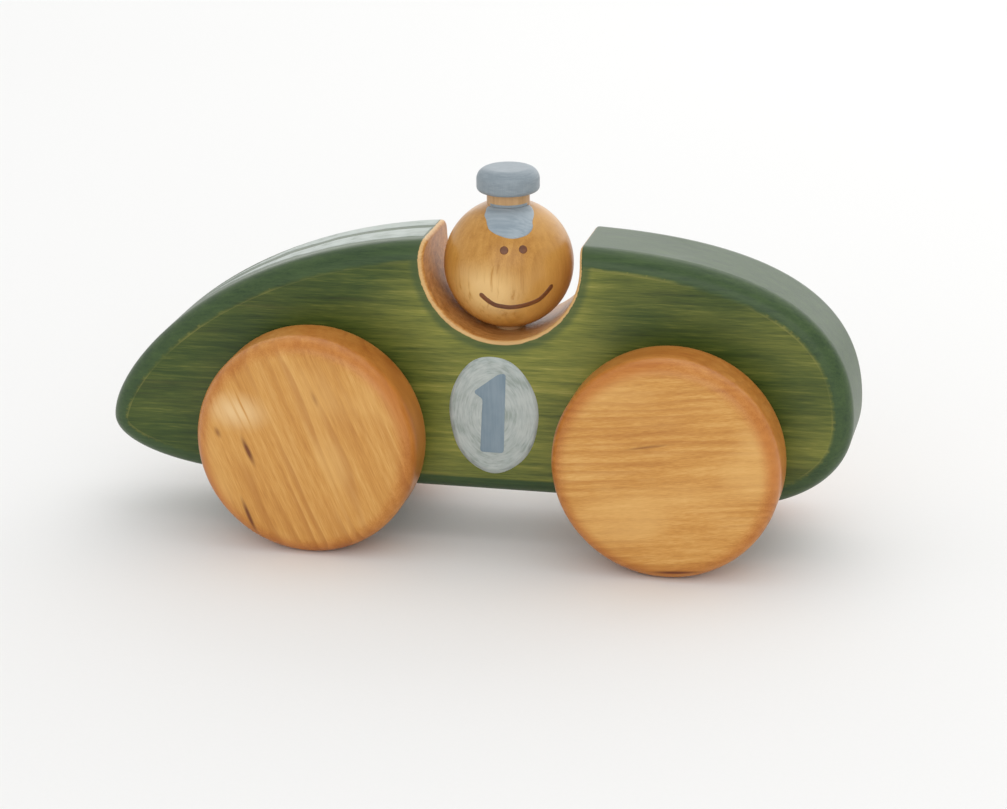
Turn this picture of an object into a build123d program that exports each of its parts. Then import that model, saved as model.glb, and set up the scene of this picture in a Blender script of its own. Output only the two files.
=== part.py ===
from build123d import *
from math import acos, atan2, cos, degrees, hypot, pi, radians, sin, sqrt, tan
import os

# Wooden racing car with a spring motor under its tail. Millimetres.
# +X runs to the tail, -X to the nose, -Y is the car's left side, +Z is up.
# The origin is on the ground, midway along the car and midway across it.

os.makedirs("parts", exist_ok=True)

# ---------------------------------------------------------------- wheels and axles
wheelbase = 91.5
front_axle_x = -38.9
wheel_radius = 28.6
wheel_width = 17.0
wheel_edge_round = 4.5
wheel_side_gap = 1.5
hub_bore_depth = 12.0
dowel_radius = 3.2
dowel_clearance = 0.08
steel_axle_radius = 1.5
side_hole_clearance = 0.8

# ---------------------------------------------------------------- body board
body_length = 192.8
body_thickness = 27.0
body_edge_round = 5.0
body_bottom = 13.0
body_top = 78.9
nose_height = 26.7
nose_rise = 14.0
nose_drop = 8.8
bonnet_reach = 65.0
bonnet_end_x = 1.3
tail_height = 36.9
tail_rise = 30.5
tail_drop = 17.7
tail_reach = 50.3
tail_start_x = 16.3
flat_front_x = -57.2
flat_front_reach = 18.8
flat_rear_x = 66.6
flat_rear_reach = 10.4

# ---------------------------------------------------------------- cockpit and driver
cockpit_x = 8.25
cockpit_room = 3.5
cockpit_floor = 54.0
cockpit_lip = 1.0
head_x = 7.4
head_radius = 16.4
head_gap = 0.3
neck_radius = 5.4
neck_height = 3.2
cap_radius = 7.95
cap_height = 6.05
cap_top_round = 3.0
cap_bottom_round = 1.2
shank_radius = 4.0
shank_depth = 15.0
running_clearance = 0.05
end_clearance = 0.3
countersink_angle = 90

# ---------------------------------------------------------------- spring motor
gear_module = 0.6
pressure_angle = radians(25)
addendum = 0.8 * gear_module
dedendum = 1.05 * gear_module
flank_backlash = 0.07
flank_steps = 3
axle_teeth = 16
float_teeth = 12
step_wheel_teeth = 16
step_pinion_teeth = 12
spring_teeth = 30
gear_thickness = 2.0
layer_gap = 0.4
spring_gear_y = -0.2
pin_radius = 0.75
hub_wall = 0.8
axle_hub_radius = 3.0
spring_hub_radius = 2.2
spring_room = 4.5
spring_rise = 1.5
step_angle = radians(50)
float_travel = 1.6
case_wall = 1.2
case_inner_width = 12.0
case_corner_round = 1.5
gear_room = 0.5
boss_radius = 1.7
spring_ring_wall = 0.8
strip_thickness = 0.3
strip_pitch = 0.75
strip_hub_gap = 0.4

# ---------------------------------------------------------------- motor cover and screws
pocket_clearance = 0.2
cover_thickness = 3.0
cover_overhang = 7.0
cover_clearance = 0.15
cover_corner_round = 3.0
cover_screw_radius = 1.5
cover_screw_head_radius = 3.0
cover_screw_length = 12.0
case_screw_radius = 0.7
case_screw_head_radius = 1.4
case_screw_length = 7.0

# ---------------------------------------------------------------- derived places
rear_axle_x = front_axle_x + wheelbase
axle_z = wheel_radius
half_body = body_thickness / 2
wheel_inner_y = half_body + wheel_side_gap
wheel_outer_y = wheel_inner_y + wheel_width
nose_x = -body_length / 2
tail_x = body_length / 2
cockpit_radius = head_radius + cockpit_room
cockpit_z = cockpit_floor + cockpit_radius
head_z = cockpit_floor + head_gap + head_radius
neck_bottom = head_z + sqrt(head_radius**2 - neck_radius**2)
cap_bottom = neck_bottom + neck_height
cap_top = cap_bottom + cap_height
shank_bottom = cockpit_floor - shank_depth


def pitch_radius(teeth):
    return teeth * gear_module / 2


def tip_radius(teeth):
    return pitch_radius(teeth) + addendum


# Gear centres in the XZ plane: the axle, the spring ahead of it, the step gear above both, and the
# floating gear behind the step gear, touching the pitch circles of the step wheel and the axle pinion.
axle_centre = (rear_axle_x, axle_z)
spring_ahead = pitch_radius(spring_teeth) + spring_room
spring_centre = (rear_axle_x - spring_ahead, axle_z + spring_rise)
spring_to_step = pitch_radius(spring_teeth) + pitch_radius(step_pinion_teeth)
step_centre = (
    spring_centre[0] + spring_to_step * cos(step_angle),
    spring_centre[1] + spring_to_step * sin(step_angle),
)
float_to_step = pitch_radius(float_teeth) + pitch_radius(step_wheel_teeth)
float_to_axle = pitch_radius(float_teeth) + pitch_radius(axle_teeth)
step_to_axle = hypot(axle_centre[0] - step_centre[0], axle_centre[1] - step_centre[1])
step_to_axle_angle = atan2(axle_centre[1] - step_centre[1], axle_centre[0] - step_centre[0])
float_swing_rise = float_to_step**2 + step_to_axle**2 - float_to_axle**2
float_swing = acos(float_swing_rise / (2 * float_to_step * step_to_axle))
float_angle = step_to_axle_angle + float_swing
float_centre = (
    step_centre[0] + float_to_step * cos(float_angle),
    step_centre[1] + float_to_step * sin(float_angle),
)

# The motor's layers across the car, from its left wall to its right wall.
case_inner_y = case_inner_width / 2
case_outer_y = case_inner_y + case_wall
train_gear_y = spring_gear_y + gear_thickness + layer_gap
hub_end_y = case_inner_y - end_clearance
strip_outer_y = -case_inner_y + end_clearance
spring_ring_end_y = spring_gear_y - end_clearance
spring_ring_radius = pitch_radius(spring_teeth) - dedendum
spring_ring_bore = spring_ring_radius - spring_ring_wall
strip_first_radius = spring_hub_radius + strip_hub_gap + strip_thickness
strip_half_turns = int((spring_ring_bore - strip_first_radius - strip_thickness) / (strip_pitch / 2))
strip_width = spring_ring_end_y - strip_outer_y - end_clearance

# The case encloses the gears, and stands on the cover plate.
cover_top = body_bottom + cover_thickness
case_left = spring_centre[0] - tip_radius(spring_teeth) - gear_room - case_wall
case_right = max(float_centre[0] + tip_radius(float_teeth), rear_axle_x + tip_radius(axle_teeth))
case_right += gear_room + case_wall
case_bottom = cover_top
case_top = step_centre[1] + tip_radius(step_wheel_teeth) + gear_room + case_wall
case_centre = ((case_left + case_right) / 2, (case_bottom + case_top) / 2)
case_size = (case_right - case_left, case_top - case_bottom)
boss_inset = case_wall + boss_radius - end_clearance
boss_places = [
    (x, z)
    for x in (case_left + boss_inset, case_right - boss_inset)
    for z in (case_bottom + boss_inset, case_top - boss_inset)
]
pocket_half_width = case_outer_y + pocket_clearance
cover_left = case_left - pocket_clearance - cover_overhang
cover_right = case_right + pocket_clearance + cover_overhang
cover_screw_places = [cover_left + cover_overhang / 2, cover_right - cover_overhang / 2]


def across(y):
    """The XZ plane at a given y: a sketch on it extrudes towards -Y."""
    return Plane.XZ.offset(-y)


def disc(y_low, y_high, centre, radius, mode=Mode.ADD):
    """A round bar or hole across the car, from y_low to y_high."""
    with BuildSketch(across(y_high)) as circle:
        with Locations(centre):
            Circle(radius)
    extrude(circle.sketch, amount=y_high - y_low, mode=mode)


def box_across(y_low, y_high, centre, size, corner_round=0, mode=Mode.ADD):
    """A block across the car, its corners rounded in side view."""
    with BuildSketch(across(y_high)) as rectangle:
        with Locations(centre):
            if corner_round > 0:
                RectangleRounded(size[0], size[1], corner_round)
            else:
                Rectangle(size[0], size[1])
    extrude(rectangle.sketch, amount=y_high - y_low, mode=mode)


def polar(centre, radius, angle):
    return (centre[0] + radius * cos(angle), centre[1] + radius * sin(angle))


def half_tooth_angle(teeth, radius):
    """Half the angle that a tooth fills at a radius, from the involute of its base circle."""
    base = pitch_radius(teeth) * cos(pressure_angle)
    at_pitch = pi / (2 * teeth) - flank_backlash / pitch_radius(teeth)
    local_pressure = acos(min(1.0, base / radius))
    return at_pitch + (tan(pressure_angle) - pressure_angle) - (tan(local_pressure) - local_pressure)


def gear(y_low, y_high, centre, teeth, phase):
    """An involute spur gear, with a tooth centred on the angle phase."""
    root = pitch_radius(teeth) - dedendum
    base = pitch_radius(teeth) * cos(pressure_angle)
    tip = tip_radius(teeth)
    flank_start = max(root, base)
    flank_radii = [flank_start + (tip - flank_start) * step / flank_steps for step in range(flank_steps + 1)]
    with BuildSketch(across(y_high)) as profile:
        with BuildLine():
            for tooth in range(teeth):
                middle = phase + 2 * pi * tooth / teeth
                rising = [polar(centre, r, middle - half_tooth_angle(teeth, r)) for r in flank_radii]
                falling = [polar(centre, r, middle + half_tooth_angle(teeth, r)) for r in flank_radii[::-1]]
                foot = half_tooth_angle(teeth, flank_start)
                next_foot = polar(centre, root, middle + 2 * pi / teeth - foot)
                if root < base:
                    Line(polar(centre, root, middle - foot), rising[0])
                    Line(falling[-1], polar(centre, root, middle + foot))
                Spline(*rising)
                ThreePointArc(rising[-1], polar(centre, tip, middle), falling[0])
                Spline(*falling)
                ThreePointArc(
                    polar(centre, root, middle + foot),
                    polar(centre, root, middle + pi / teeth),
                    next_foot,
                )
        make_face()
    extrude(profile.sketch, amount=y_high - y_low)


def meshing_phase(centre, teeth, phase, other_centre, other_teeth):
    """The phase that puts a gap of the other gear around this gear's tooth on the line of centres."""
    towards = atan2(other_centre[1] - centre[1], other_centre[0] - centre[0])
    tooth_position = (towards - phase) * teeth / (2 * pi)
    return towards + pi - (0.5 - tooth_position) * 2 * pi / other_teeth


axle_phase = 0.0
float_phase = meshing_phase(axle_centre, axle_teeth, axle_phase, float_centre, float_teeth)
step_wheel_phase = meshing_phase(float_centre, float_teeth, float_phase, step_centre, step_wheel_teeth)
step_pinion_phase = 0.0
spring_phase = meshing_phase(step_centre, step_pinion_teeth, step_pinion_phase, spring_centre, spring_teeth)


def save(builder, name):
    builder.part.label = name
    export_step(builder.part, f"parts/{name}.step")


# ---------------------------------------------------------------- body board
with BuildPart() as body_block:
    with BuildSketch(across(half_body)):
        with BuildLine():
            Bezier(
                (nose_x, nose_height),
                (nose_x, nose_height + nose_rise),
                (bonnet_end_x - bonnet_reach, body_top),
                (bonnet_end_x, body_top),
            )
            Line((bonnet_end_x, body_top), (tail_start_x, body_top))
            Bezier(
                (tail_start_x, body_top),
                (tail_start_x + tail_reach, body_top),
                (tail_x, tail_height + tail_rise),
                (tail_x, tail_height),
            )
            Bezier(
                (tail_x, tail_height),
                (tail_x, tail_height - tail_drop),
                (flat_rear_x + flat_rear_reach, body_bottom),
                (flat_rear_x, body_bottom),
            )
            Line((flat_rear_x, body_bottom), (flat_front_x, body_bottom))
            Bezier(
                (flat_front_x, body_bottom),
                (flat_front_x - flat_front_reach, body_bottom),
                (nose_x, nose_height - nose_drop),
                (nose_x, nose_height),
            )
        make_face()
    extrude(amount=body_thickness)
    outline_edges = body_block.edges().filter_by(lambda edge: abs(abs(edge.center().Y) - half_body) < 0.01)
    fillet(outline_edges, body_edge_round)

    # The cockpit is a round hole bored from side to side that breaks through the top edge.
    disc(-half_body, half_body, (cockpit_x, cockpit_z), cockpit_radius, Mode.SUBTRACT)
    cockpit_wall = body_block.faces().sort_by_distance((cockpit_x, 0, cockpit_floor))[0]
    fillet(cockpit_wall.edges(), cockpit_lip)

    # The driver's peg hole, upright from the cockpit floor.
    with BuildSketch(Plane.XY.offset(shank_bottom - end_clearance)) as peg_hole:
        with Locations((head_x, 0)):
            Circle(shank_radius + running_clearance)
    extrude(peg_hole.sketch, amount=shank_depth + cockpit_radius, mode=Mode.SUBTRACT)

    # Axle holes: a running fit for the front dowel, a clear hole for the steel rear axle.
    disc(-half_body, half_body, (front_axle_x, axle_z), dowel_radius + dowel_clearance, Mode.SUBTRACT)
    disc(-half_body, half_body, axle_centre, steel_axle_radius + side_hole_clearance, Mode.SUBTRACT)

    # The motor pocket, open below, and the shallow recess around it for the cover plate.
    pocket_size = (case_size[0] + 2 * pocket_clearance, case_top + pocket_clearance - body_bottom)
    pocket_centre = (case_centre[0], body_bottom + pocket_size[1] / 2)
    box_across(-pocket_half_width, pocket_half_width, pocket_centre, pocket_size, 0, Mode.SUBTRACT)
    with BuildSketch(Plane.XY.offset(body_bottom)) as recess:
        with Locations(((cover_left + cover_right) / 2, 0)):
            RectangleRounded(
                cover_right - cover_left + 2 * cover_clearance, 2 * pocket_half_width, cover_corner_round
            )
    extrude(recess.sketch, amount=cover_thickness, mode=Mode.SUBTRACT)
    with BuildSketch(Plane.XY.offset(body_bottom)) as pilot_holes:
        with Locations(*[(x, 0) for x in cover_screw_places]):
            Circle(cover_screw_radius)
    extrude(pilot_holes.sketch, amount=cover_screw_length + end_clearance, mode=Mode.SUBTRACT)
save(body_block, "body_block")


# ---------------------------------------------------------------- wheels
def wheel(inner_y, outer_y, centre, bore_radius):
    """A plain wooden disc with a blind hole in its inner face."""
    low, high = sorted((inner_y, outer_y))
    disc(low, high, centre, wheel_radius)
    rims = BuildPart._get_context().edges().filter_by(GeomType.CIRCLE)
    fillet(rims, wheel_edge_round)
    bore_end = inner_y + hub_bore_depth * (1 if outer_y > inner_y else -1)
    bore_low, bore_high = sorted((inner_y, bore_end))
    disc(bore_low, bore_high, centre, bore_radius, Mode.SUBTRACT)


front_centre = (front_axle_x, axle_z)

with BuildPart() as front_wheel_left:
    wheel(-wheel_inner_y, -wheel_outer_y, front_centre, dowel_radius)
save(front_wheel_left, "front_wheel_left")

with BuildPart() as front_wheel_right:
    wheel(wheel_inner_y, wheel_outer_y, front_centre, dowel_radius)
save(front_wheel_right, "front_wheel_right")

with BuildPart() as rear_wheel_left:
    wheel(-wheel_inner_y, -wheel_outer_y, axle_centre, steel_axle_radius)
save(rear_wheel_left, "rear_wheel_left")

with BuildPart() as rear_wheel_right:
    wheel(wheel_inner_y, wheel_outer_y, axle_centre, steel_axle_radius)
save(rear_wheel_right, "rear_wheel_right")

# ---------------------------------------------------------------- axles
axle_end_y = wheel_inner_y + hub_bore_depth

with BuildPart() as front_axle:
    disc(-axle_end_y, axle_end_y, front_centre, dowel_radius)
save(front_axle, "front_axle_dowel")

with BuildPart() as rear_axle:
    disc(-axle_end_y, axle_end_y, axle_centre, steel_axle_radius)
save(rear_axle, "rear_axle_rod")

# ---------------------------------------------------------------- driver
with BuildPart() as driver_head:
    with Locations((head_x, 0, head_z)):
        Sphere(head_radius)
    # The ball is flat where the neck of the cap stands on it, and bored right through for the shank.
    with BuildSketch(Plane.XY.offset(neck_bottom)) as crown:
        with Locations((head_x, 0)):
            Circle(head_radius)
    extrude(crown.sketch, amount=head_radius, mode=Mode.SUBTRACT)
    with BuildSketch(Plane.XY.offset(head_z - head_radius)) as head_bore:
        with Locations((head_x, 0)):
            Circle(shank_radius)
    extrude(head_bore.sketch, amount=2 * head_radius, mode=Mode.SUBTRACT)
save(driver_head, "driver_head")

with BuildPart() as driver_cap_peg:
    with BuildSketch(Plane.XY.offset(cap_bottom)) as cap_disc:
        with Locations((head_x, 0)):
            Circle(cap_radius)
    extrude(cap_disc.sketch, amount=cap_height)
    cap_rims = driver_cap_peg.edges().filter_by(GeomType.CIRCLE).sort_by(Axis.Z)
    fillet(cap_rims[-1], cap_top_round)
    fillet(driver_cap_peg.edges().filter_by(GeomType.CIRCLE).sort_by(Axis.Z)[0], cap_bottom_round)
    with BuildSketch(Plane.XY.offset(neck_bottom)) as neck:
        with Locations((head_x, 0)):
            Circle(neck_radius)
    extrude(neck.sketch, amount=neck_height)
    with BuildSketch(Plane.XY.offset(shank_bottom)) as shank:
        with Locations((head_x, 0)):
            Circle(shank_radius)
    extrude(shank.sketch, amount=neck_bottom - shank_bottom)
save(driver_cap_peg, "driver_cap_peg")


# ---------------------------------------------------------------- motor case
def pin_holes(y_low, y_high):
    """Holes through a case wall: pressed pins, the running axle, and the slot of the floating pin."""
    disc(y_low, y_high, spring_centre, pin_radius, Mode.SUBTRACT)
    disc(y_low, y_high, step_centre, pin_radius, Mode.SUBTRACT)
    disc(y_low, y_high, axle_centre, steel_axle_radius + running_clearance, Mode.SUBTRACT)
    slot_direction = float_angle + pi / 2
    slot_middle = polar(float_centre, float_travel / 2, slot_direction)
    with BuildSketch(across(y_high)) as slot:
        with Locations(Location(slot_middle, degrees(slot_direction))):
            SlotCenterToCenter(float_travel, 2 * (pin_radius + running_clearance))
    extrude(slot.sketch, amount=y_high - y_low, mode=Mode.SUBTRACT)


with BuildPart() as motor_case:
    box_across(-case_outer_y, case_inner_y, case_centre, case_size, case_corner_round)
    cavity_size = (case_size[0] - 2 * case_wall, case_size[1] - 2 * case_wall)
    box_across(-case_inner_y, case_inner_y, case_centre, cavity_size, 0, Mode.SUBTRACT)
    # A ring on the left wall holds the mainspring round its outside.
    disc(-case_outer_y, spring_ring_end_y, spring_centre, spring_ring_radius)
    disc(-case_inner_y, spring_ring_end_y, spring_centre, spring_ring_bore, Mode.SUBTRACT)
    # Corner posts take the screws of the lid.
    for place in boss_places:
        disc(-case_inner_y, case_inner_y, place, boss_radius)
        disc(
            case_outer_y - case_screw_length, case_inner_y, place, case_screw_radius, Mode.SUBTRACT
        )
    pin_holes(-case_outer_y, -case_inner_y)
save(motor_case, "motor_case")

with BuildPart() as motor_case_lid:
    box_across(case_inner_y, case_outer_y, case_centre, case_size, case_corner_round)
    pin_holes(case_inner_y, case_outer_y)
    with Locations(*[Plane.XZ.offset(-case_outer_y).location * Location(place) for place in boss_places]):
        CounterSinkHole(case_screw_radius, case_screw_head_radius, case_wall, countersink_angle)
save(motor_case_lid, "motor_case_lid")

with BuildPart() as case_screws:
    for place in boss_places:
        disc(case_outer_y - case_screw_length + end_clearance, case_outer_y, place, case_screw_radius)
        with Locations(Plane.XZ.offset(-case_outer_y).location * Location(place)):
            Cone(
                case_screw_radius,
                case_screw_head_radius,
                case_screw_head_radius - case_screw_radius,
                align=(Align.CENTER, Align.CENTER, Align.MAX),
                rotation=(180, 0, 0),
            )
save(case_screws, "case_screws")

# ---------------------------------------------------------------- gears, pins and mainspring
with BuildPart() as spring_pin:
    disc(-case_outer_y, case_outer_y, spring_centre, pin_radius)
save(spring_pin, "spring_pin")

with BuildPart() as step_pin:
    disc(-case_outer_y, case_outer_y, step_centre, pin_radius)
save(step_pin, "step_pin")

with BuildPart() as floating_pin:
    disc(-case_outer_y, case_outer_y, float_centre, pin_radius)
save(floating_pin, "floating_pin")

with BuildPart() as spring_gear:
    gear(spring_gear_y, spring_gear_y + gear_thickness, spring_centre, spring_teeth, spring_phase)
    disc(strip_outer_y, hub_end_y, spring_centre, spring_hub_radius)
    disc(strip_outer_y, hub_end_y, spring_centre, pin_radius + running_clearance, Mode.SUBTRACT)
save(spring_gear, "spring_gear")

with BuildPart() as step_gear:
    gear(spring_gear_y, train_gear_y, step_centre, step_pinion_teeth, step_pinion_phase)
    gear(train_gear_y, train_gear_y + gear_thickness, step_centre, step_wheel_teeth, step_wheel_phase)
    disc(-hub_end_y, hub_end_y, step_centre, pin_radius + hub_wall)
    disc(-hub_end_y, hub_end_y, step_centre, pin_radius + running_clearance, Mode.SUBTRACT)
save(step_gear, "step_gear")

with BuildPart() as floating_gear:
    gear(train_gear_y, train_gear_y + gear_thickness, float_centre, float_teeth, float_phase)
    disc(-hub_end_y, hub_end_y, float_centre, pin_radius + hub_wall)
    disc(-hub_end_y, hub_end_y, float_centre, pin_radius, Mode.SUBTRACT)
save(floating_gear, "floating_gear")

with BuildPart() as axle_pinion:
    gear(train_gear_y, train_gear_y + gear_thickness, axle_centre, axle_teeth, axle_phase)
    disc(-hub_end_y, hub_end_y, axle_centre, axle_hub_radius)
    disc(-hub_end_y, hub_end_y, axle_centre, steel_axle_radius, Mode.SUBTRACT)
save(axle_pinion, "axle_pinion")

# The mainspring is a flat strip wound from half circles, whose centres alternate so that they join
# smoothly. It is anchored to the case ring, and its inner coil stands clear of the turning hub.
with BuildPart() as mainspring:
    with BuildSketch(across(strip_outer_y + strip_width)) as coil:
        with BuildLine():
            inner_points = []
            outer_points = []
            for half_turn in range(strip_half_turns):
                side = 1 if half_turn % 2 == 0 else -1
                radius = strip_first_radius + half_turn * strip_pitch / 2
                centre = (spring_centre[0] - side * strip_pitch / 4, spring_centre[1])
                start = 0 if side == 1 else 180
                CenterArc(centre, radius - strip_thickness / 2, start, 180)
                CenterArc(centre, radius + strip_thickness / 2, start, 180)
                for points, edge_radius in (
                    (inner_points, radius - strip_thickness / 2),
                    (outer_points, radius + strip_thickness / 2),
                ):
                    points.append(polar(centre, edge_radius, radians(start)))
                    points.append(polar(centre, edge_radius, radians(start + 180)))
            Line(inner_points[0], outer_points[0])
            Line(inner_points[-1], outer_points[-1])
        make_face()
    extrude(coil.sketch, amount=strip_width)
save(mainspring, "mainspring")

# ---------------------------------------------------------------- motor cover
with BuildPart() as motor_cover:
    with BuildSketch(Plane.XY.offset(body_bottom)) as plate:
        with Locations(((cover_left + cover_right) / 2, 0)):
            RectangleRounded(
                cover_right - cover_left, 2 * (pocket_half_width - cover_clearance), cover_corner_round
            )
    extrude(plate.sketch, amount=cover_thickness)
    with Locations(*[Location((x, 0, body_bottom), (180, 0, 0)) for x in cover_screw_places]):
        CounterSinkHole(cover_screw_radius, cover_screw_head_radius, cover_thickness, countersink_angle)
save(motor_cover, "motor_cover")

with BuildPart() as cover_screws:
    head_depth = cover_screw_head_radius - cover_screw_radius
    for screw_x in cover_screw_places:
        with BuildSketch(Plane.XZ) as half_screw:
            with BuildLine():
                Polyline(
                    (screw_x, body_bottom),
                    (screw_x + cover_screw_head_radius, body_bottom),
                    (screw_x + cover_screw_radius, body_bottom + head_depth),
                    (screw_x + cover_screw_radius, body_bottom + cover_screw_length),
                    (screw_x, body_bottom + cover_screw_length),
                    close=True,
                )
            make_face()
        revolve(half_screw.sketch, axis=Axis((screw_x, 0, 0), (0, 0, 1)))
save(cover_screws, "cover_screws")
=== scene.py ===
from math import cos, pi, radians, sin, sqrt

import bpy
from mathutils import Matrix, Vector
from mathutils.bvhtree import BVHTree


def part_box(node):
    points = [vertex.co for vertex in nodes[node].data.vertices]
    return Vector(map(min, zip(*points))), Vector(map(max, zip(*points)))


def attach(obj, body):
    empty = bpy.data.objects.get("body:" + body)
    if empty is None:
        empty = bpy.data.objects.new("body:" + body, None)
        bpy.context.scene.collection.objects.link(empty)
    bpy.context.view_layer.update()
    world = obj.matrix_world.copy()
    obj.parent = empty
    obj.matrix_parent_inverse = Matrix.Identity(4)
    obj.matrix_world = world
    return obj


# A wooden racing car with a ball-headed driver. Metres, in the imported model's frame.
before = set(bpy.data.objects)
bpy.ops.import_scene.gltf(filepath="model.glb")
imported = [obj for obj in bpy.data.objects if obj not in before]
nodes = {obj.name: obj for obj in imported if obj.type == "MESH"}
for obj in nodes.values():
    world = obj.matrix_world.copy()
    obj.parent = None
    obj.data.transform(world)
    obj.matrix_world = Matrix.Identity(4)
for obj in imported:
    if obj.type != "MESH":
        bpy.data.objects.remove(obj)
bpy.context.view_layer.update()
MM = 0.001

body_low, body_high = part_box("body_block")
head_low, head_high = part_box("driver_head")
cap_low, cap_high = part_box("driver_cap_peg")
HEAD_RADIUS = (head_high.y - head_low.y) / 2
HEAD_BORE_RADIUS = 4.0 * MM
HEAD_DROP = sqrt(HEAD_RADIUS**2 - HEAD_BORE_RADIUS**2)
HEAD_CENTRE = Vector(((head_low.x + head_high.x) / 2, 0, head_low.z + HEAD_DROP))
COCKPIT_AXIS = Vector((7.95, 0, 73.9)) * MM
COCKPIT_BARE_RADIUS = 20.85 * MM
ROUNDEL_X = 6.1 * MM
ROUNDEL_Z = 34.4 * MM
ROUNDEL_HALF_WIDTH = 11.5 * MM
ROUNDEL_HALF_HEIGHT = 15.5 * MM
STROKE_SQUEEZE = 1.35


# ---------------------------------------------------------------- camera
CAMERA_AZIMUTH = radians(13.045)
CAMERA_ELEVATION = radians(18.92)
CAMERA_ROLL = radians(-0.67)
CAMERA_DISTANCE = 779.67 * MM
CAMERA_TARGET = Vector((5.555, 0, 32.58)) * MM
CAMERA_LENS = 108.70


def add_camera():
    az, el, roll = CAMERA_AZIMUTH, CAMERA_ELEVATION, CAMERA_ROLL
    back = Vector((sin(az) * cos(el), -cos(az) * cos(el), sin(el)))
    right = Vector((cos(az), sin(az), 0))
    up = Vector((-sin(az) * sin(el), cos(az) * sin(el), cos(el)))
    rolled_right = right * cos(roll) + up * sin(roll)
    rolled_up = up * cos(roll) - right * sin(roll)
    camera = bpy.data.objects.new("camera", bpy.data.cameras.new("camera"))
    camera.data.lens = CAMERA_LENS
    camera.data.sensor_width = 36
    camera.data.clip_start = 0.01
    camera.data.clip_end = 50
    place = Matrix((rolled_right, rolled_up, back)).transposed().to_4x4()
    place.translation = CAMERA_TARGET + back * CAMERA_DISTANCE
    camera.matrix_world = place
    bpy.context.scene.collection.objects.link(camera)
    bpy.context.scene.camera = camera


add_camera()


# ---------------------------------------------------------------- material nodes
def srgb(red, green, blue):
    """A linear colour from sRGB values of 0 to 255."""
    def linear(value):
        v = value / 255
        return v / 12.92 if v <= 0.04045 else ((v + 0.055) / 1.055) ** 2.4
    return (linear(red), linear(green), linear(blue), 1.0)


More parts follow.
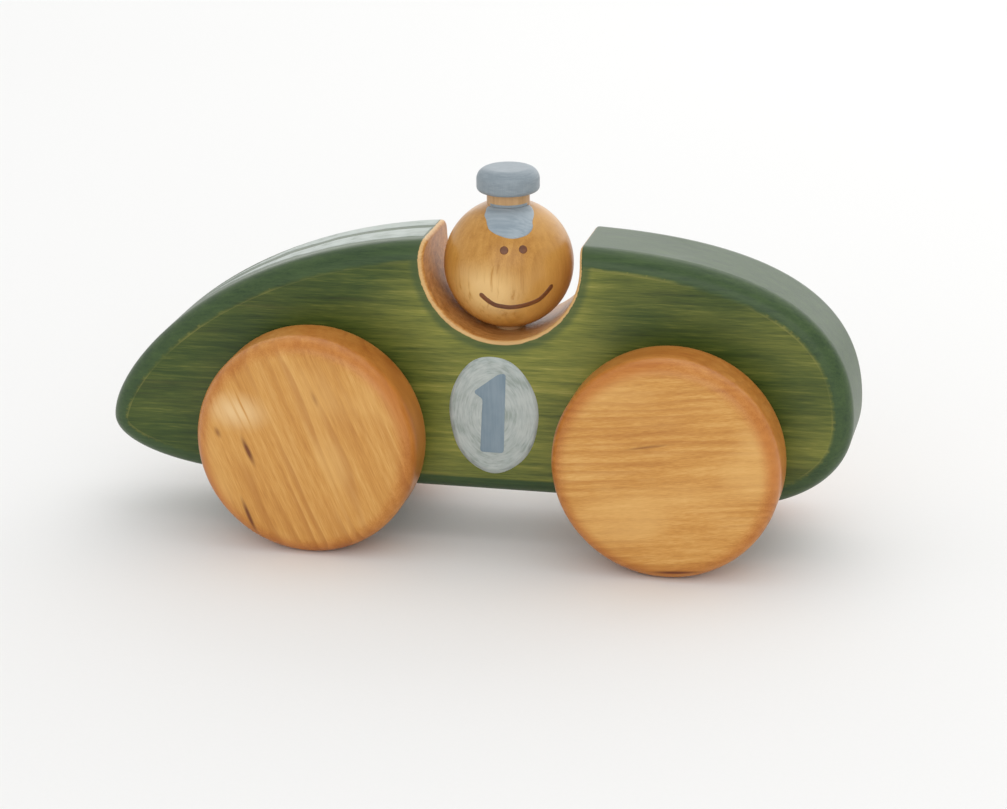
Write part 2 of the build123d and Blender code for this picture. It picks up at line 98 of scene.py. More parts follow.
class Shader:
    """A material's node tree, with short calls for the nodes that the finishes share."""

    def __init__(self, name):
        self.material = bpy.data.materials.new(name)
        self.material.use_nodes = True
        self.tree = self.material.node_tree
        self.surface = self.tree.nodes["Principled BSDF"]
        self.coords = self.tree.nodes.new("ShaderNodeTexCoord")

    def put(self, socket, value):
        if isinstance(value, bpy.types.NodeSocket):
            self.tree.links.new(value, socket)
        else:
            socket.default_value = value

    def node(self, kind, *inputs, **settings):
        made = self.tree.nodes.new(kind)
        for key, value in settings.items():
            setattr(made, key, value)
        for socket, value in zip(made.inputs, inputs):
            if value is not None:
                self.put(socket, value)
        return made

    def math(self, operation, a, b=0.0, c=0.0, clamp=False):
        return self.node("ShaderNodeMath", a, b, c, operation=operation, use_clamp=clamp).outputs[0]

    def mapped(self, rotation=(0, 0, 0), scale=(1, 1, 1), offset=(0, 0, 0)):
        """Object coordinates, moved by an offset, turned, and then scaled."""
        moved = self.node("ShaderNodeMapping", self.coords.outputs["Object"], offset, rotation)
        return self.node("ShaderNodeMapping", moved.outputs[0], (0, 0, 0), (0, 0, 0), scale).outputs[0]

    def noise(self, vector, detail=2.0, roughness=0.5, distortion=0.0):
        made = self.tree.nodes.new("ShaderNodeTexNoise")
        self.put(made.inputs["Vector"], vector)
        made.inputs["Scale"].default_value = 1.0
        made.inputs["Detail"].default_value = detail
        made.inputs["Roughness"].default_value = roughness
        made.inputs["Distortion"].default_value = distortion
        return made.outputs[0]

    def step(self, value, low, high):
        """0 below low, 1 above high, smooth between them; low may be the larger."""
        made = self.tree.nodes.new("ShaderNodeMapRange")
        made.interpolation_type = "SMOOTHSTEP"
        self.put(made.inputs["Value"], value)
        made.inputs["From Min"].default_value = low
        made.inputs["From Max"].default_value = high
        return made.outputs[0]

    def mix(self, factor, a, b, blend="MIX"):
        made = self.tree.nodes.new("ShaderNodeMix")
        made.data_type = "RGBA"
        made.blend_type = blend
        self.put(made.inputs[0], factor)
        self.put(made.inputs[6], a)
        self.put(made.inputs[7], b)
        return made.outputs[2]

    def ramp(self, value, *stops):
        made = self.tree.nodes.new("ShaderNodeValToRGB")
        self.put(made.inputs[0], value)
        elements = made.color_ramp.elements
        while len(elements) < len(stops):
            elements.new(0.5)
        for element, (place, colour) in zip(elements, stops):
            element.position = place
            element.color = colour
        return made.outputs[0]

    def spot(self, centre, angle, half_length, half_width):
        """A soft long spot on the face of a wheel or board: 1 at its centre, 0 outside it."""
        scale = (1 / half_length, 0, 1 / half_width)
        lined = self.node("ShaderNodeMapping", self.offset_from(centre), (0, 0, 0), (0, angle, 0))
        scaled = self.node("ShaderNodeMapping", lined.outputs[0], (0, 0, 0), (0, 0, 0), scale)
        length = self.node("ShaderNodeVectorMath", scaled.outputs[0], operation="LENGTH")
        return self.step(length.outputs["Value"], 1.0, 0.0)

    def offset_from(self, centre):
        """The vector from a centre to the shaded point, in object coordinates."""
        place = self.coords.outputs["Object"]
        return self.node("ShaderNodeVectorMath", place, centre, operation="SUBTRACT").outputs[0]

    def reach_from(self, centre, weights):
        """The distance from a centre, with each axis weighted."""
        flat = self.node("ShaderNodeVectorMath", self.offset_from(centre), weights, operation="MULTIPLY")
        return self.node("ShaderNodeVectorMath", flat.outputs[0], operation="LENGTH").outputs["Value"]

    def axis(self, output, index):
        """One component of a texture coordinate output."""
        split = self.node("ShaderNodeSeparateXYZ", self.coords.outputs[output])
        return split.outputs[index]

    def bump(self, height, distance, strength=1.0):
        made = self.tree.nodes.new("ShaderNodeBump")
        made.inputs["Strength"].default_value = strength
        made.inputs["Distance"].default_value = distance
        self.put(made.inputs["Height"], height)
        self.tree.links.new(made.outputs[0], self.surface.inputs["Normal"])

    def finish(self, colour, roughness, metallic=0.0, specular=0.5, coat=0.0, coat_roughness=0.1):
        self.put(self.surface.inputs["Base Color"], colour)
        self.put(self.surface.inputs["Roughness"], roughness)
        self.surface.inputs["Metallic"].default_value = metallic
        self.surface.inputs["Specular IOR Level"].default_value = specular
        self.surface.inputs["Coat Weight"].default_value = coat
        self.surface.inputs["Coat Roughness"].default_value = coat_roughness
        return self.material


# ---------------------------------------------------------------- woods
LINE_TO_BAND_LENGTH = 0.3
FIBRE_LENGTH = 4.0


def grain(shader, rotation, offset, band_size, line_width=1.1, fibre_width=0.16):
    """Three scales of wood figure along the turned X axis: bands, fine lines and fibres, each about 0 to 1.
    Sizes are in millimetres, and band_size is (length, width)."""
    def layer(along, wide, detail, distortion):
        scale = (1 / (along * MM), 1 / (wide * MM), 1 / (wide * MM))
        return shader.noise(shader.mapped(rotation, scale, offset), detail, 0.55, distortion)
    bands = layer(band_size[0], band_size[1], 3.0, 0.3)
    lines = layer(band_size[0] * LINE_TO_BAND_LENGTH, line_width, 2.0, 0.1)
    fibres = layer(FIBRE_LENGTH, fibre_width, 2.0, 0.0)
    return bands, lines, fibres


def blended_figure(shader, layers, line_share, fibre_depth):
    """One figure from the three layers of grain: bands and lines shared out, fibres about their middle."""
    bands, lines, fibres = layers
    figure = shader.math("MULTIPLY_ADD", lines, line_share, shader.math("MULTIPLY", bands, 1 - line_share))
    return shader.math("MULTIPLY_ADD", shader.math("SUBTRACT", fibres, 0.5), fibre_depth, figure)


RING_SLANT = 0.35
RING_WAVER = 3.0


def rings(shader, rotation, offset, pitch):
    """Growth rings cut along the grain: 0 over most of each ring, rising to 1 at its dense line."""
    turned = shader.mapped(rotation, (1, 1, 1), offset)
    drift = shader.noise(shader.mapped(rotation, (14, 120, 120), offset), 2.0)
    split = shader.node("ShaderNodeSeparateXYZ", turned)
    depth = shader.math("MULTIPLY_ADD", split.outputs[1], RING_SLANT, split.outputs[2])
    place = shader.math("MULTIPLY_ADD", depth, 1 / (pitch * MM), shader.math("MULTIPLY", drift, RING_WAVER))
    within = shader.math("FRACT", place)
    rise = shader.step(within, 0.25, 0.86)
    return shader.math("MULTIPLY", rise, shader.step(within, 1.0, 0.9))


def plain_wood(
    name, rotation, offset, tones, roughness, band_size, ring_pitch=3.6, ringed=0.5, spots=(), hub=None,
):
    """Varnished pale wood. tones are dark, middle and light; spots are (mask arguments, colour, strength).
    A wheel's hub is given so that its rounded rim and tread are darkened with painted shade."""
    shader = Shader(name)
    bands, lines, fibres = grain(shader, rotation, offset, band_size)
    figure = blended_figure(shader, (bands, lines, fibres), 0.45, 0.6)
    dark, middle, light = tones
    colour = shader.ramp(figure, (0.14, dark), (0.48, middle), (0.84, light))
    dense = rings(shader, rotation, offset, ring_pitch)
    patchy = shader.noise(shader.mapped(rotation, (30, 90, 90), offset), 1.0)
    dense = shader.math("MULTIPLY", dense, shader.step(patchy, 0.38, 0.66))
    colour = shader.mix(shader.math("MULTIPLY", dense, ringed), colour, dark)
    drift = shader.noise(shader.mapped(rotation, (26, 48, 48), offset), 2.0)
    colour = shader.mix(shader.math("MULTIPLY", shader.step(drift, 0.48, 0.66), 0.5), colour, light)
    for place, tint, strength in spots:
        ragged = shader.math("MULTIPLY", shader.spot(*place), shader.step(lines, 0.2, 0.5))
        colour = shader.mix(shader.math("MULTIPLY", ragged, strength * SPOT_GAIN, clamp=True), colour, tint)
    if hub is not None:
        # Painted shade: the colour darkens over the wheel's rounded rim and tread, standing in for the
        # shading there.
        reach = shader.reach_from(hub, (1, 0, 1))
        rim = shader.step(reach, RIM_SHADE_START, RIM_SHADE_FULL)
        rim = shader.math("MULTIPLY", rim, shader.math("MULTIPLY_ADD", drift, 1.1, 0.25), clamp=True)
        colour = shader.mix(rim, colour, RIM_SHADE_TONE, "MULTIPLY")
    gloss = shader.math("MULTIPLY_ADD", fibres, 0.12, roughness - 0.06)
    shader.bump(shader.math("ADD", shader.math("MULTIPLY", lines, 0.3), fibres), 0.012 * MM, 0.5)
    return shader.finish(colour, gloss, specular=0.4)


SPOT_GAIN = 1.3
# Where the painted shade over a wheel's rim starts and where it is full, and the tone that it multiplies in.
RIM_SHADE_START = 23.4 * MM
RIM_SHADE_FULL = 27.2 * MM
RIM_SHADE_TONE = srgb(226, 186, 144)
WHEEL_GLOSS = 0.34
WHEEL_TONES = (srgb(172, 108, 42), srgb(205, 148, 72), srgb(228, 180, 108))
HEAD_TONES = (srgb(158, 104, 40), srgb(189, 136, 62), srgb(210, 160, 86))


def stained_body():
    """Green stain over a board, darker on the rounded edges, and bare varnished wood inside the cockpit with
    a painted highlight on its lip.
    """
    shader = Shader("green_stained_board")
    turn = (0, radians(0.8), 0)
    bands, lines, fibres = grain(shader, turn, (0.013, 0, 0.004), (45, 2.2), 0.6, 0.13)
    figure = blended_figure(shader, (bands, lines, fibres), 0.45, 0.45)
    deep = shader.ramp(
        figure,
        (0.3, srgb(36, 54, 22)),
        (0.46, srgb(54, 73, 27)),
        (0.58, srgb(69, 86, 33)),
        (0.74, srgb(104, 112, 46)),
    )
    thin = shader.ramp(
        figure,
        (0.3, srgb(94, 104, 44)),
        (0.46, srgb(127, 132, 56)),
        (0.58, srgb(147, 147, 64)),
        (0.74, srgb(178, 170, 92)),
    )

    # The face is paler along the middle of the car, less so behind it and least ahead of it, with soft
    # clouds.
    along = shader.axis("Object", 0)
    cloud = shader.noise(shader.mapped(turn, (22, 70, 70), (0.05, 0, 0.02)), 2.0)
    ahead = shader.step(along, -32 * MM, 2 * MM)
    behind = shader.math("MULTIPLY_ADD", shader.step(along, 22 * MM, 42 * MM), -0.7, 1.0)
    pale = shader.math("MULTIPLY", shader.math("MULTIPLY", ahead, behind), 0.75)
    clouds = shader.math("MULTIPLY", shader.math("SUBTRACT", cloud, 0.46), 1.5)
    pale = shader.math("ADD", pale, clouds, clamp=True)
    face = shader.mix(pale, deep, thin)

    # The colour is darker where the surface turns away from the side faces, on the rounded edges and the top
    # and bottom, and paler along the line where the rounding starts.
    edge = shader.ramp(figure, (0.32, srgb(46, 68, 38)), (0.72, srgb(70, 92, 50)))
    facing = shader.math("ABSOLUTE", shader.axis("Normal", 1))
    wobble = shader.math("MULTIPLY", shader.math("SUBTRACT", bands, 0.5), 0.003)
    facing = shader.math("ADD", facing, wobble)
    rounded = shader.step(facing, 0.9988, 0.978)
    colour = shader.mix(rounded, face, edge)
    edge_line_paler = shader.math("MULTIPLY", shader.step(facing, 0.99995, 0.9985), shader.step(facing, 0.988, 0.9965))
    edge_line_paler = shader.math("MULTIPLY", edge_line_paler, shader.step(cloud, 0.38, 0.58))
    colour = shader.mix(shader.math("MULTIPLY", edge_line_paler, 0.5), colour, srgb(138, 134, 66))

    # Round the cockpit's axis: bare inside the lip, with a painted highlight on the lip, and a denser band of
    # stain just outside it.
    radius = shader.reach_from(COCKPIT_AXIS, (1, 0, 1))
    radius = shader.math("MULTIPLY_ADD", shader.math("SUBTRACT", lines, 0.5), 0.5 * MM, radius)
    denser = shader.step(radius, COCKPIT_BARE_RADIUS + 3.0 * MM, COCKPIT_BARE_RADIUS + 1.0 * MM)
    colour = shader.mix(shader.math("MULTIPLY", denser, 0.7), colour, srgb(62, 82, 46))
    bare = shader.step(radius, COCKPIT_BARE_RADIUS + 0.12 * MM, COCKPIT_BARE_RADIUS - 0.12 * MM)
    wood = shader.ramp(
        figure,
        (0.34, srgb(172, 112, 52)),
        (0.52, srgb(202, 146, 80)),
        (0.7, srgb(222, 172, 106)),
    )
    # Painted highlight: the bare lip of the cockpit is made paler, where it catches the light.
    lip_highlight = shader.step(radius, COCKPIT_BARE_RADIUS - 1.1 * MM, COCKPIT_BARE_RADIUS - 0.6 * MM)
    wood = shader.mix(shader.math("MULTIPLY", lip_highlight, 0.65), wood, srgb(220, 186, 128))
    colour = shader.mix(bare, colour, wood)
    gloss = shader.math("MULTIPLY_ADD", fibres, 0.14, 0.29)
    shader.bump(shader.math("ADD", shader.math("MULTIPLY", lines, 0.6), fibres), 0.025 * MM, 0.45)
    return shader.finish(colour, gloss, specular=0.34)


CAP_PAINT_DEPTH = 6.1 * MM
FRINGE_AZIMUTH = radians(15)
FRINGE_SIDE = (sin(FRINGE_AZIMUTH), -cos(FRINGE_AZIMUTH), 0)
NECK_FOOT = (HEAD_CENTRE.x, 0, head_high.z)


def painted_cap():
    """Brushed grey-blue paint over the cap, bare turned wood on the neck and shank."""
    shader = Shader("painted_cap")
    bands, lines, fibres = grain(shader, (0, radians(90), 0), (0.02, 0.01, 0), (40, 3.0), 0.8, 0.15)
    brushed = shader.noise(shader.mapped((0, 0, 0), (500, 500, 2600), (0, 0, 0)), 2.0)
    tone = shader.math("MULTIPLY_ADD", brushed, 0.6, shader.math("MULTIPLY", fibres, 0.4))
    paint = shader.ramp(tone, (0.3, srgb(126, 138, 146)), (0.65, srgb(145, 156, 163)))
    wood = shader.ramp(lines, (0.3, srgb(184, 144, 98)), (0.7, srgb(206, 166, 118)))
    uneven = shader.math("SUBTRACT", bands, 0.5)
    height = shader.math("MULTIPLY_ADD", uneven, 0.3 * MM, shader.axis("Object", 2))
    line = cap_high.z - CAP_PAINT_DEPTH
    painted = shader.step(height, line - 0.1 * MM, line + 0.1 * MM)

    # The fringe's paint runs a little way up the front of the neck.
    away = shader.offset_from(NECK_FOOT)
    ahead = shader.node("ShaderNodeVectorMath", away, FRINGE_SIDE, operation="DOT_PRODUCT")
    foot = shader.step(ahead.outputs["Value"], 2.5 * MM, 3.0 * MM)
    rise = shader.node("ShaderNodeSeparateXYZ", away).outputs[2]
    foot = shader.math("MULTIPLY", foot, shader.step(rise, 0.75 * MM, 0.6 * MM))
    foot = shader.math("MULTIPLY", foot, shader.step(rise, -0.6 * MM, -0.4 * MM))
    painted = shader.math("MAXIMUM", painted, foot)
    colour = shader.mix(painted, wood, paint)
    shader.bump(shader.math("ADD", brushed, fibres), 0.03 * MM, 0.5)
    return shader.finish(colour, shader.math("MULTIPLY_ADD", tone, 0.2, 0.32), specular=0.45)


# ---------------------------------------------------------------- paint, plastic and steel
def brushed_paint(name, dark, light, see_through=None, turn=(0, 0, 0), gloss=0.4, hub=None):
    """A thin hand-brushed paint. see_through is the colour that shows where its strokes are thin. The strokes
    run along the turned X axis, or round a hub point on the face."""
    shader = Shader(name)
    if hub is None:
        place = shader.mapped(turn, (70, 1400, 1400), (0.003, 0, 0.001))
    else:
        reach = shader.reach_from(hub, (STROKE_SQUEEZE, 0, 1))
        away = shader.offset_from(hub)
        slow = shader.node("ShaderNodeVectorMath", away, (420, 0, 300), operation="MULTIPLY").outputs[0]
        fast = shader.node("ShaderNodeCombineXYZ", 0.0, shader.math("MULTIPLY", reach, 1700.0), 0.0)
        place = shader.node("ShaderNodeVectorMath", slow, fast.outputs[0], operation="ADD").outputs[0]
    strokes = shader.noise(place, 3.0, 0.6, 0.2)
    cloudy = shader.noise(shader.mapped(turn, (160, 160, 220)), 2.0)
    tone = shader.math("MULTIPLY_ADD", strokes, 0.55, shader.math("MULTIPLY", cloudy, 0.45))
    colour = shader.ramp(tone, (0.36, dark), (0.6, light))
    if see_through is not None:
        colour = shader.mix(shader.math("MULTIPLY", shader.step(tone, 0.47, 0.36), 0.45), colour, see_through)
    shader.bump(tone, 0.03 * MM, 0.6)
    return shader.finish(colour, shader.math("MULTIPLY_ADD", tone, 0.2, gloss - 0.1), specular=0.45)


def moulded_plastic(name, colour, roughness):
    shader = Shader(name)
    fine = shader.noise(shader.mapped(scale=(5000, 5000, 5000)), 2.0)
    broad = shader.noise(shader.mapped(scale=(120, 120, 120)), 1.0)
    shade = shader.mix(shader.step(broad, 0.3, 0.7), colour, tuple(min(1, c * 1.12) for c in colour))
    shader.bump(fine, 0.01 * MM, 0.4)
    return shader.finish(shade, shader.math("MULTIPLY_ADD", fine, 0.15, roughness - 0.07))


def drawn_steel(name, colour, roughness, scale):
    """Steel with fine drawing lines; scale is the noise scale along X, Y and Z."""
    shader = Shader(name)
    lines = shader.noise(shader.mapped(scale=scale), 3.0)
    shade = shader.mix(lines, colour, tuple(min(1, c * 1.25) for c in colour))
    shader.bump(lines, 0.006 * MM, 0.5)
    return shader.finish(shade, shader.math("MULTIPLY_ADD", lines, 0.2, roughness - 0.1), metallic=1.0)


def dress(material, *names):
    """Puts a material on CAD nodes, in place of the one they came with."""
    for name in names:
        node = nodes[name]
        node.data.materials.clear()
        node.data.materials.append(material)
        for polygon in node.data.polygons:
            polygon.material_index = 0


FRONT_GRAIN = radians(-67)
REAR_GRAIN = radians(7)
front_low, front_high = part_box("front_wheel_left")
rear_low, rear_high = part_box("rear_wheel_left")
FRONT_HUB = (front_low + front_high) / 2
REAR_HUB = (rear_low + rear_high) / 2


def on_wheel(hub, right, up):
    """A place on a wheel's face, from its hub, in millimetres."""
    return (hub.x + right * MM, hub.y, hub.z + up * MM)


STREAK = srgb(118, 66, 28)
PALE = srgb(232, 194, 138)
front_spots = (
    ((on_wheel(FRONT_HUB, -17, 9), FRONT_GRAIN + radians(60), 11 * MM, 6.5 * MM), PALE, 0.75),
    ((on_wheel(FRONT_HUB, -14.2, -1.5), FRONT_GRAIN, 5.5 * MM, 1.0 * MM), STREAK, 0.95),
    ((on_wheel(FRONT_HUB, -22, 3.0), FRONT_GRAIN, 2.2 * MM, 1.0 * MM), STREAK, 0.5),
    ((on_wheel(FRONT_HUB, -14.6, -19), FRONT_GRAIN - radians(2), 7 * MM, 0.9 * MM), STREAK, 0.95),
    ((on_wheel(FRONT_HUB, 3.6, 13.5), FRONT_GRAIN, 3 * MM, 0.8 * MM), STREAK, 0.3),
)
rear_spots = (
    ((on_wheel(REAR_HUB, -4, 6.5), REAR_GRAIN + radians(4), 8 * MM, 0.6 * MM), STREAK, 0.5),
    ((on_wheel(REAR_HUB, 3, -26), REAR_GRAIN - radians(3), 9 * MM, 0.8 * MM), STREAK, 0.9),
)

dress(stained_body(), "body_block")
dress(
    plain_wood(
        "front_left_wheel_wood", (0, FRONT_GRAIN, 0), (0.004, 0, 0.011), WHEEL_TONES, WHEEL_GLOSS,
        (80, 4.2), 4.3, 0.55, front_spots, FRONT_HUB,
    ),
    "front_wheel_left",
)
dress(
    plain_wood(
        "rear_left_wheel_wood", (0, REAR_GRAIN, radians(4)), (0.031, 0, 0.052), WHEEL_TONES, WHEEL_GLOSS,
        (70, 3.2), 2.3, 0.4, rear_spots, REAR_HUB,
    ),
    "rear_wheel_left",
)
dress(
    plain_wood(
        "front_right_wheel_wood", (0, radians(32), radians(-3)), (0.07, 0, 0.02), WHEEL_TONES, WHEEL_GLOSS,
        (80, 4.8), 4.0, 0.5, hub=FRONT_HUB,
    ),
    "front_wheel_right",
)
dress(
    plain_wood(
        "rear_right_wheel_wood", (0, radians(-21), radians(3)), (0.05, 0, 0.09), WHEEL_TONES, WHEEL_GLOSS,
        (80, 4.0), 3.0, 0.45, hub=REAR_HUB,
    ),
    "rear_wheel_right",
)
# Painted highlight: a broad pale patch on the lower middle of the ball, where the light falls on it.
head_highlight_centre = HEAD_CENTRE + Vector((-2, 0, -3.5)) * MM
head_painted_highlight = ((head_highlight_centre, 0, 13 * MM, 10 * MM), srgb(228, 188, 124), 1.0)
dress(
    plain_wood(
        "head_wood", (0, radians(88), 0), (0.01, 0.02, 0), HEAD_TONES, 0.3,
        (45, 4.0), 2.6, 0.35, (head_painted_highlight,),
    ),
    "driver_head",
)
dress(
    plain_wood("dowel_wood", (0, 0, radians(90)), (0, 0, 0), WHEEL_TONES, 0.45, (30, 1.6)),
    "front_axle_dowel",
)
dress(plain_wood("cover_wood", (0, 0, 0), (0.02, 0, 0.01), WHEEL_TONES, 0.45, (60, 3.0)), "motor_cover")
dress(painted_cap(), "driver_cap_peg")
dress(moulded_plastic("case_plastic", (0.035, 0.036, 0.04, 1), 0.42), "motor_case", "motor_case_lid")
dress(
    moulded_plastic("gear_plastic", (0.72, 0.70, 0.64, 1), 0.38),
    "spring_gear", "step_gear", "floating_gear", "axle_pinion",
)
dress(
    drawn_steel("axle_steel", (0.56, 0.56, 0.57, 1), 0.28, (3000, 60, 3000)),
    "rear_axle_rod", "spring_pin", "step_pin", "floating_pin",
)
dress(drawn_steel("screw_steel", (0.5, 0.5, 0.5, 1), 0.32, (2500, 2500, 2500)), "case_screws", "cover_screws")
dress(drawn_steel("spring_steel", (0.22, 0.25, 0.32, 1), 0.3, (200, 3000, 200)), "mainspring")


# ---------------------------------------------------------------- thin coats of paint
PAINT = 0.07 * MM
EDGE_FALL = 0.25 * MM
SINK = 0.02 * MM


def make_piece(name, points, faces, material, body, slot):
    mesh = bpy.data.meshes.new(name)
    mesh.from_pydata(points, [], faces)
    mesh.materials.append(material)
    mesh.validate()
    for polygon in mesh.polygons:
        polygon.use_smooth = True
    piece = bpy.data.objects.new(name, mesh)
    bpy.context.scene.collection.objects.link(piece)
    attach(piece, body)
    return piece


def closed_grid(rows, under):
    """Points and faces of a coat: rows of top points, and the same rows sunk a little into the surface."""
    count, width = len(rows), len(rows[0])
    points = [p for row in rows for p in row] + [p for row in under for p in row]
    half = count * width
    faces = []
    for i in range(count - 1):
        for j in range(width - 1):
            a, b, c, d = i * width + j, i * width + j + 1, (i + 1) * width + j + 1, (i + 1) * width + j
            faces.append((a, b, c, d))
            faces.append((half + d, half + c, half + b, half + a))
    rim = list(range(width))
    rim += [i * width + width - 1 for i in range(1, count)]
    rim += [(count - 1) * width + j for j in range(width - 2, -1, -1)]
    rim += [i * width for i in range(count - 2, 0, -1)]
    for a, b in zip(rim, rim[1:] + rim[:1]):
        faces.append((b, a, half + a, half + b))
    return points, faces


def ribbon(name, place, path, half_width, material, body, slot, across=8, square_ends=False):
    """A painted line. place(u, v, height) gives a point on the surface; path is a list of (u, v) points."""
    lengths = [0.0]
    for (u0, v0), (u1, v1) in zip(path, path[1:]):
        lengths.append(lengths[-1] + sqrt((u1 - u0) ** 2 + (v1 - v0) ** 2))
    rows, under = [], []
    for i, (u, v) in enumerate(path):
        before, after = path[max(i - 1, 0)], path[min(i + 1, len(path) - 1)]
        along = Vector((after[0] - before[0], after[1] - before[1])).normalized()
        from_end = min(lengths[i], lengths[-1] - lengths[i])
        reach = min(1.0, from_end / half_width(lengths[i] / lengths[-1]))
        round_off = 1.0 if square_ends else sqrt(max(0.02, 1 - (1 - reach) ** 2))
        half = half_width(lengths[i] / lengths[-1]) * round_off
        row, low = [], []
        for j in range(across + 1):
            t = -1 + 2 * j / across
            height = PAINT * sqrt(max(0.0, 1 - abs(t) ** 6)) * min(1.0, 0.15 + reach * 2)
            offset = half * t
            row.append(place(u - along.y * offset, v + along.x * offset, height))
            low.append(place(u - along.y * offset, v + along.x * offset, -SINK))
        rows.append(row)
        under.append(low)
    return make_piece(name, *closed_grid(rows, under), material, body, slot)


def patch(name, place, outline, centre, material, body, slot, rings=10):
    """A filled painted shape whose outline can be seen whole from its centre."""
    count = len(outline)
    points = [place(centre[0], centre[1], PAINT), place(centre[0], centre[1], -SINK)]
    for layer in (0, 1):
        for r in range(1, rings + 1):
            share = r / rings
            for u, v in outline:
                cu, cv = centre[0] + (u - centre[0]) * share, centre[1] + (v - centre[1]) * share
                height = PAINT * (1 if r < rings else 0.15) if layer == 0 else -SINK
                points.append(place(cu, cv, height))
    def at(layer, ring, i):
        return 2 + layer * rings * count + (ring - 1) * count + i % count
    faces = []
    for i in range(count):
        faces.append((0, at(0, 1, i), at(0, 1, i + 1)))
        faces.append((1, at(1, 1, i + 1), at(1, 1, i)))
        for r in range(1, rings):
            faces.append((at(0, r, i), at(0, r + 1, i), at(0, r + 1, i + 1), at(0, r, i + 1)))
            faces.append((at(1, r, i + 1), at(1, r + 1, i + 1), at(1, r + 1, i), at(1, r, i)))
        faces.append((at(0, rings, i), at(1, rings, i), at(1, rings, i + 1), at(0, rings, i + 1)))
    return make_piece(name, points, faces, material, body, slot)


def curve_span(p0, p1, p2, p3, steps):
    """Points of the smooth curve from p1 up to p2, which its neighbours p0 and p3 steer."""
    span = []
    for s in range(steps):
        t = s / steps
        q = 0.5 * ((2 * p1) + (p2 - p0) * t + (2 * p0 - 5 * p1 + 4 * p2 - p3) * t * t
                   + (3 * p1 - p0 - 3 * p2 + p3) * t ** 3)
        span.append((q.x, q.y))
    return span


def smooth_closed(points, steps=8):
    """A closed smooth curve through points."""
    count = len(points)
    out = []
    for i in range(count):
        out += curve_span(*(Vector(points[(i + k) % count]) for k in (-1, 0, 1, 2)), steps)
    return out


def smooth_open(points, steps=8):
    """An open smooth curve through points."""
    last = len(points) - 1
    out = []
    for i in range(last):
        out += curve_span(*(Vector(points[min(max(i + k, 0), last)]) for k in (-1, 0, 1, 2)), steps)
    return out + [tuple(points[-1])]


def rounded_corners(corners, reaches, steps=5):
    """A closed outline with each corner cut by a curve that starts its own reach from it."""
    out = []
    count = len(corners)
    for i in range(count):
        before, here, after = (Vector(corners[(i + k) % count]) for k in (-1, 0, 1))
        reach = min(reaches[i], (before - here).length * 0.45, (after - here).length * 0.45)
        start = here + (before - here).normalized() * reach
        end = here + (after - here).normalized() * reach
        for s in range(steps + 1):
            t = s / steps
            q = start * (1 - t) ** 2 + here * 2 * t * (1 - t) + end * t * t
            out.append((q.x, q.y))
    return out


# ---------------------------------------------------------------- roundel and numeral, on both faces
ROUNDEL_POINTS = 96
# Corners of the numeral as (x, z, how far the rounding reaches), in millimetres.
NUMERAL_CORNERS = [
    (2.5, 24.35, 0.9), (8.6, 24.3, 0.9), (9.35, 45.5, 0.8), (7.5, 45.3, 1.6),
    (1.25, 40.5, 0.35), (1.35, 39.85, 0.3), (3.3, 38.5, 0.7),
]

roundel_paint = brushed_paint(
    "roundel_paint", srgb(158, 169, 166), srgb(187, 195, 191), srgb(140, 152, 140),
    hub=(ROUNDEL_X, 0, ROUNDEL_Z),
)
numeral_paint = brushed_paint(
    "numeral_paint", srgb(116, 137, 150), srgb(134, 152, 164), turn=(0, radians(90), 0),
)


def on_face(side, lift):
    """side is -1 for the left face and 1 for the right, which shows its numeral the right way round too."""
    y_face = side * (body_high.y - body_low.y) / 2

    def place(u, v, height):
        x = ROUNDEL_X - side * (u - ROUNDEL_X)
        return Vector((x, y_face + side * (height + lift), v))
    return place


def flat_solid(name, place, outline, material, body, slot):
    """A flat painted shape of any outline, its edge falling to the surface."""
    count = len(outline)
    middle = [Vector(p) for p in outline]
    inner = []
    for i in range(count):
        before, here, after = middle[i - 1], middle[i], middle[(i + 1) % count]
        along = (after - before).normalized()
        inner.append(here + Vector((-along.y, along.x)) * EDGE_FALL * 0.5)
    top = [place(p.x, p.y, PAINT) for p in inner]
    rim = [place(p.x, p.y, PAINT * 0.5) for p in middle]
    low = [place(p.x, p.y, -SINK) for p in middle]
    points = top + rim + low
    faces = [tuple(range(count)), tuple(reversed(range(2 * count, 3 * count)))]
    for i in range(count):
        k = (i + 1) % count
        faces.append((i, count + i, count + k, k))
        faces.append((count + i, 2 * count + i, 2 * count + k, count + k))
    piece = make_piece(name, points, faces, material, body, slot)
    for polygon in piece.data.polygons:
        polygon.use_smooth = False
    return piece


for label, side in (("left", -1), ("right", 1)):
    ellipse = []
    for k in range(ROUNDEL_POINTS):
        angle = 2 * pi * k / ROUNDEL_POINTS
        wobble = 1 + 0.008 * sin(3 * angle + 1) + 0.006 * sin(7 * angle)
        ellipse.append((
            ROUNDEL_X + ROUNDEL_HALF_WIDTH * wobble * cos(angle),
            ROUNDEL_Z + ROUNDEL_HALF_HEIGHT * wobble * sin(angle),
        ))
    patch(
        "roundel_" + label, on_face(side, 0), ellipse, (ROUNDEL_X, ROUNDEL_Z),
        roundel_paint, "chassis", "cap_paint",
    )
    corners = [(x * MM, z * MM) for x, z, _ in NUMERAL_CORNERS]
    numeral = rounded_corners(corners, [reach * MM for _, _, reach in NUMERAL_CORNERS])
    flat_solid("numeral_" + label, on_face(side, PAINT), numeral, numeral_paint, "chassis", "cap_paint")


# ---------------------------------------------------------------- bonnet stripes
ABOVE_CAR = 0.2
body_surface = BVHTree.FromPolygons(
    [v.co for v in nodes["body_block"].data.vertices],
    [p.vertices for p in nodes["body_block"].data.polygons],
)


def on_bonnet(u, v, height):
    """A point over the body at x = u and y = v, at a height off its surface."""
    found, normal, _, _ = body_surface.ray_cast(Vector((u, v, ABOVE_CAR)), Vector((0, 0, -1)))
    return found + normal * height


STRIPE_STEPS = 100
STRIPE_COLUMNS = 16
stripe_paint = brushed_paint(
    "stripe_paint", srgb(146, 156, 148), srgb(178, 187, 180), srgb(104, 122, 98), gloss=0.42,
)


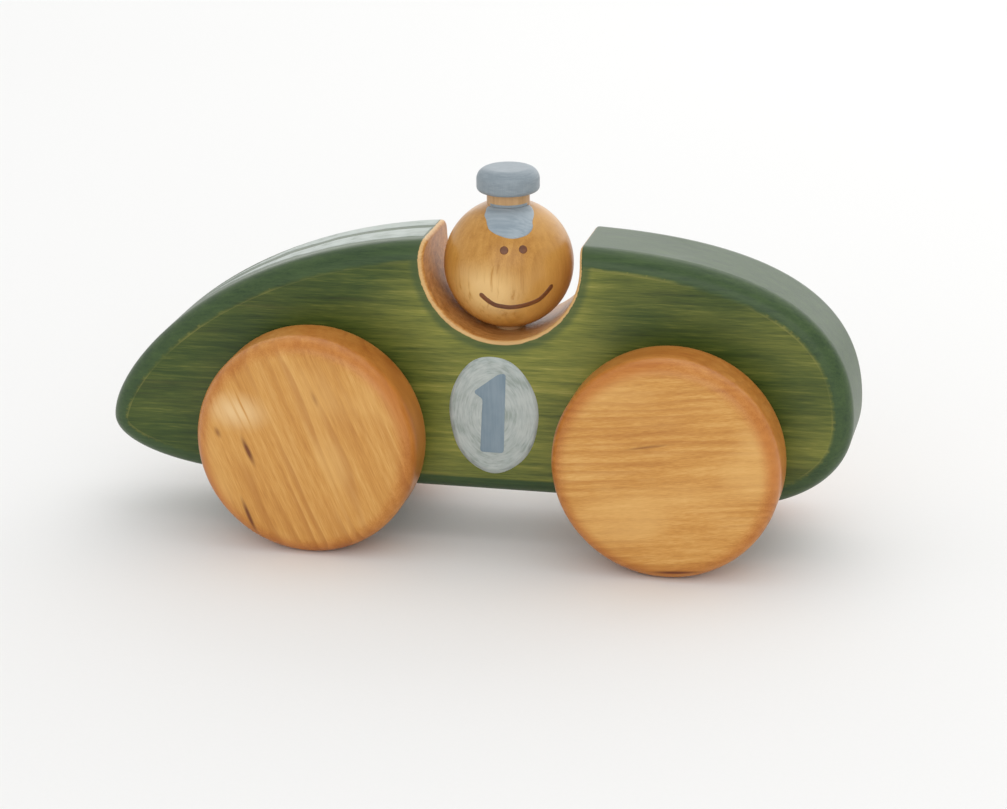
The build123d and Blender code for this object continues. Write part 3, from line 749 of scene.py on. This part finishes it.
def stripe(name, stations):
    """A stripe through stations of (x, y of its middle, half width) in millimetres, cut square behind."""
    first, last = stations[0][0], stations[-1][0]

    def at(x):
        for (x0, y0, h0), (x1, y1, h1) in zip(stations, stations[1:]):
            if x <= x1:
                share = (x - x0) / (x1 - x0)
                return y0 + (y1 - y0) * share, h0 + (h1 - h0) * share
        return stations[-1][1:]
    xs = [first + (last - first) * k / STRIPE_STEPS for k in range(STRIPE_STEPS + 1)]
    path = [(x * MM, at(x)[0] * MM) for x in xs]
    return ribbon(
        name, on_bonnet, path, lambda share: at(first + (last - first) * share)[1] * MM,
        stripe_paint, "chassis", "cap_paint", STRIPE_COLUMNS, True,
    )


stripe("bonnet_stripe_left", (
    (-74, -1.6, 0.15), (-68, -2.0, 0.6), (-60, -2.3, 1.5), (-49, -1.9, 2.9),
    (-40, -2.05, 3.5), (-27, -2.3, 3.95), (-13.0, -2.4, 4.1),
))
stripe("bonnet_stripe_right", (
    (-73, 3.4, 0.15), (-66, 4.2, 0.8), (-60, 4.9, 1.4), (-50, 6.2, 2.2),
    (-40, 7.2, 3.0), (-27, 7.5, 3.4), (-12.7, 7.6, 3.5),
))


# ---------------------------------------------------------------- the driver's face
def on_head(u, v, height):
    """A point over the ball at azimuth u and elevation v, in degrees."""
    az, el = radians(u), radians(v)
    out = Vector((sin(az) * cos(el), -cos(az) * cos(el), sin(el)))
    return HEAD_CENTRE + out * (HEAD_RADIUS + height)


feature_paint = brushed_paint("feature_paint", srgb(96, 56, 30), srgb(122, 74, 42), gloss=0.34)
fringe_paint = brushed_paint("fringe_paint", srgb(138, 152, 162), srgb(164, 176, 184), gloss=0.42)

# The face is laid out in degrees of azimuth and elevation over the ball.
EYE_RADIUS = 3.7
EYE_POINTS = 32
MOUTH_HALF_WIDTH = 2.6
for label, eye_az, eye_el in (("left", 8.3, 26.3), ("right", 26.8, 26.6)):
    ring = []
    for k in range(EYE_POINTS):
        angle = 2 * pi * k / EYE_POINTS
        reach = EYE_RADIUS / cos(radians(eye_el))
        ring.append((eye_az + reach * cos(angle), eye_el + EYE_RADIUS * sin(angle)))
    patch("eye_" + label, on_head, ring, (eye_az, eye_el), feature_paint, "driver", "head_wood", 6)

MOUTH = [
    (-14.5, -13.6), (-8.4, -19.6), (-1.2, -24.5), (7.5, -26.4), (15.2, -27.1),
    (27.9, -25.5), (40.5, -21.7), (48.0, -15.8), (54.7, -8.5),
]
ribbon(
    "mouth", on_head, smooth_open(MOUTH), lambda share: MOUTH_HALF_WIDTH,
    feature_paint, "driver", "head_wood",
)

FRINGE = [
    (-48.0, 69.9), (-36.1, 62.7), (-31.1, 58.5), (-21.9, 53.7), (-15.7, 48.1), (-11.1, 44.4),
    (0.0, 40.1), (15.8, 36.7), (31.2, 38.4), (40.3, 42.3), (45.4, 46.7), (49.6, 52.3), (68, 62.3),
    (80.0, 69.9), (56, 70.7), (17, 70.7), (-26, 70.7),
]
patch("fringe", on_head, smooth_closed(FRINGE, 5), (16.6, 58), fringe_paint, "driver", "cap_paint", 14)


# ---------------------------------------------------------------- floor and light
FLOOR_HALF_SIZE = 8.0


def add_floor():
    size = FLOOR_HALF_SIZE
    mesh = bpy.data.meshes.new("floor")
    corners = [(-size, -size, 0), (size, -size, 0), (size, size, 0), (-size, size, 0)]
    mesh.from_pydata(corners, [], [(0, 1, 2, 3)])
    shader = Shader("floor_paper")
    speckle = shader.noise(shader.mapped(scale=(900, 900, 900)), 2.0)
    broad = shader.noise(shader.mapped(scale=(1.5, 1.5, 1.5)), 1.0)
    colour = shader.ramp(
        shader.math("MULTIPLY_ADD", speckle, 0.3, shader.math("MULTIPLY", broad, 0.7)),
        (0.3, (0.86, 0.86, 0.85, 1)),
        (0.7, (0.88, 0.88, 0.875, 1)),
    )
    mesh.materials.append(shader.finish(colour, 0.85, specular=0.1))
    floor = bpy.data.objects.new("floor", mesh)
    bpy.context.scene.collection.objects.link(floor)


def add_softbox(name, place, target, width, height, power):
    light = bpy.data.lights.new(name, "AREA")
    light.shape = "RECTANGLE"
    light.size = width
    light.size_y = height
    light.energy = power
    lamp = bpy.data.objects.new(name, light)
    lamp.location = place
    lamp.rotation_mode = "QUATERNION"
    lamp.rotation_quaternion = (Vector(target) - Vector(place)).to_track_quat("-Z", "Y")
    bpy.context.scene.collection.objects.link(lamp)


add_floor()
add_softbox("overhead_softbox", (0.2, 0.3, 0.95), (0.02, 0.02, 0.03), 1.2, 1.0, 2.5)
add_softbox("front_softbox", (0.3, -1.6, 0.8), (0, 0, 0.04), 1.9, 1.1, 7.5)
add_softbox("back_panel", (0.3, 1.7, 0.75), (0.1, 0, 0.1), 3.0, 1.5, 13.0)

world = bpy.data.worlds.new("studio")
world.use_nodes = True
world.node_tree.nodes["Background"].inputs["Color"].default_value = (1.0, 1.0, 1.0, 1)
world.node_tree.nodes["Background"].inputs["Strength"].default_value = 0.76
bpy.context.scene.world = world
bpy.context.scene.view_settings.view_transform = "Standard"
